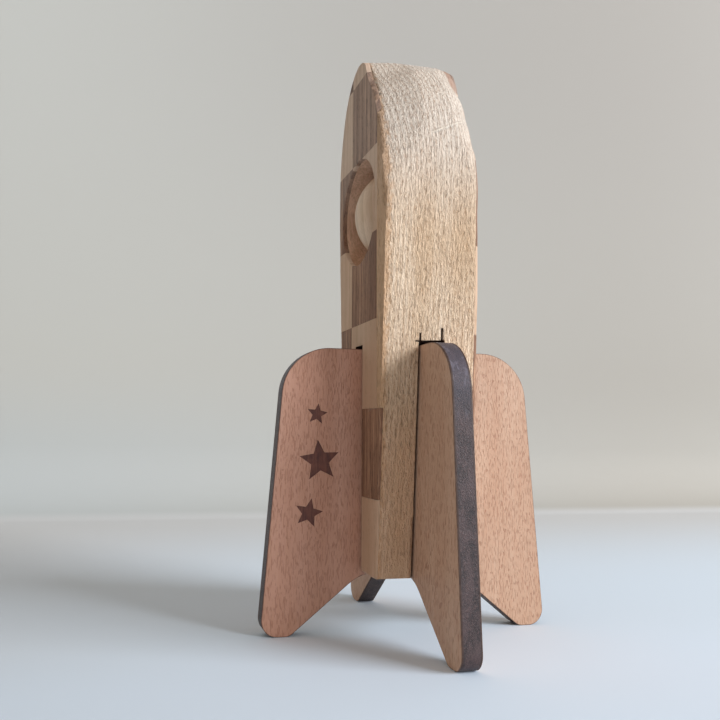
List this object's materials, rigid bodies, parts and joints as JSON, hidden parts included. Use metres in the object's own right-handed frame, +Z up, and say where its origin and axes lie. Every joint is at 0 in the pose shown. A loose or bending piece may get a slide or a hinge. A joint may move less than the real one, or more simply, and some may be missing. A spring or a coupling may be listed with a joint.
{
  "type": "toy rocket",
  "caption": "Wooden toy rocket: bullet-shaped body with mosaic faces and a porthole ball that turns, standing on slotted-in fins with feet.",
  "frame": {"origin": "on the floor under the middle of the body, between the feet", "axes": "+Z up along the body, -Y the front mosaic face, +X the right side with a fin"},
  "size_m": [0.0972, 0.0938, 0.185],
  "materials": {
    "oak_block": "open-pored sanded oak, unvarnished",
    "oak_tile": "sanded oak, vertical grain",
    "walnut_tile": "sanded walnut, vertical grain",
    "ball_wood": "turned pale wood, satin",
    "dowel_wood": "beech dowel",
    "beech_veneer": "steamed beech veneer with short flecks",
    "fin_board": "laser-cut edge, burnt dark"
  },
  "bodies": {
    "rocket": {"body_block": "oak_block", "ball_dowel": "dowel_wood", "front_near_base": "oak_tile", "front_near_row_1": "walnut_tile", "front_near_row_2": "oak_tile", "front_near_row_3": "walnut_tile", "front_near_row_4": "oak_tile", "front_near_row_5": "walnut_tile", "front_near_nose": "oak_tile", "front_far_base": "walnut_tile", "front_far_row_1": "oak_tile", "front_far_row_2": "walnut_tile", "front_far_row_3": "oak_tile", "front_far_row_4": "walnut_tile", "front_far_row_5": "oak_tile", "front_far_nose": "walnut_tile", "back_near_base": "walnut_tile", "back_near_row_1": "oak_tile", "back_near_row_2": "walnut_tile", "back_near_row_3": "oak_tile", "back_near_row_4": "walnut_tile", "back_near_row_5": "oak_tile", "back_near_nose": "walnut_tile", "back_far_base": "oak_tile", "back_far_row_1": "walnut_tile", "back_far_row_2": "oak_tile", "back_far_row_3": "walnut_tile", "back_far_row_4": "oak_tile", "back_far_row_5": "walnut_tile", "back_far_nose": "oak_tile", "fin_front_board": "fin_board", "fin_front_veneer_a": "beech_veneer", "fin_front_veneer_b": "beech_veneer", "fin_right_board": "fin_board", "fin_right_veneer_a": "beech_veneer", "fin_right_veneer_b": "beech_veneer", "fin_back_board": "fin_board", "fin_back_veneer_a": "beech_veneer", "fin_back_veneer_b": "beech_veneer", "fin_left_board": "fin_board", "fin_left_veneer_a": "beech_veneer", "fin_left_veneer_b": "beech_veneer"},
    "ball": {"porthole_ball": "ball_wood"}
  },
  "joints": [
    {"name": "ball_turn", "type": "hinge", "parent": "rocket", "child": "ball", "pos_m": [-0.002, 0, 0.134], "axis": [1, 0, 0], "continuous": true}
  ]
}
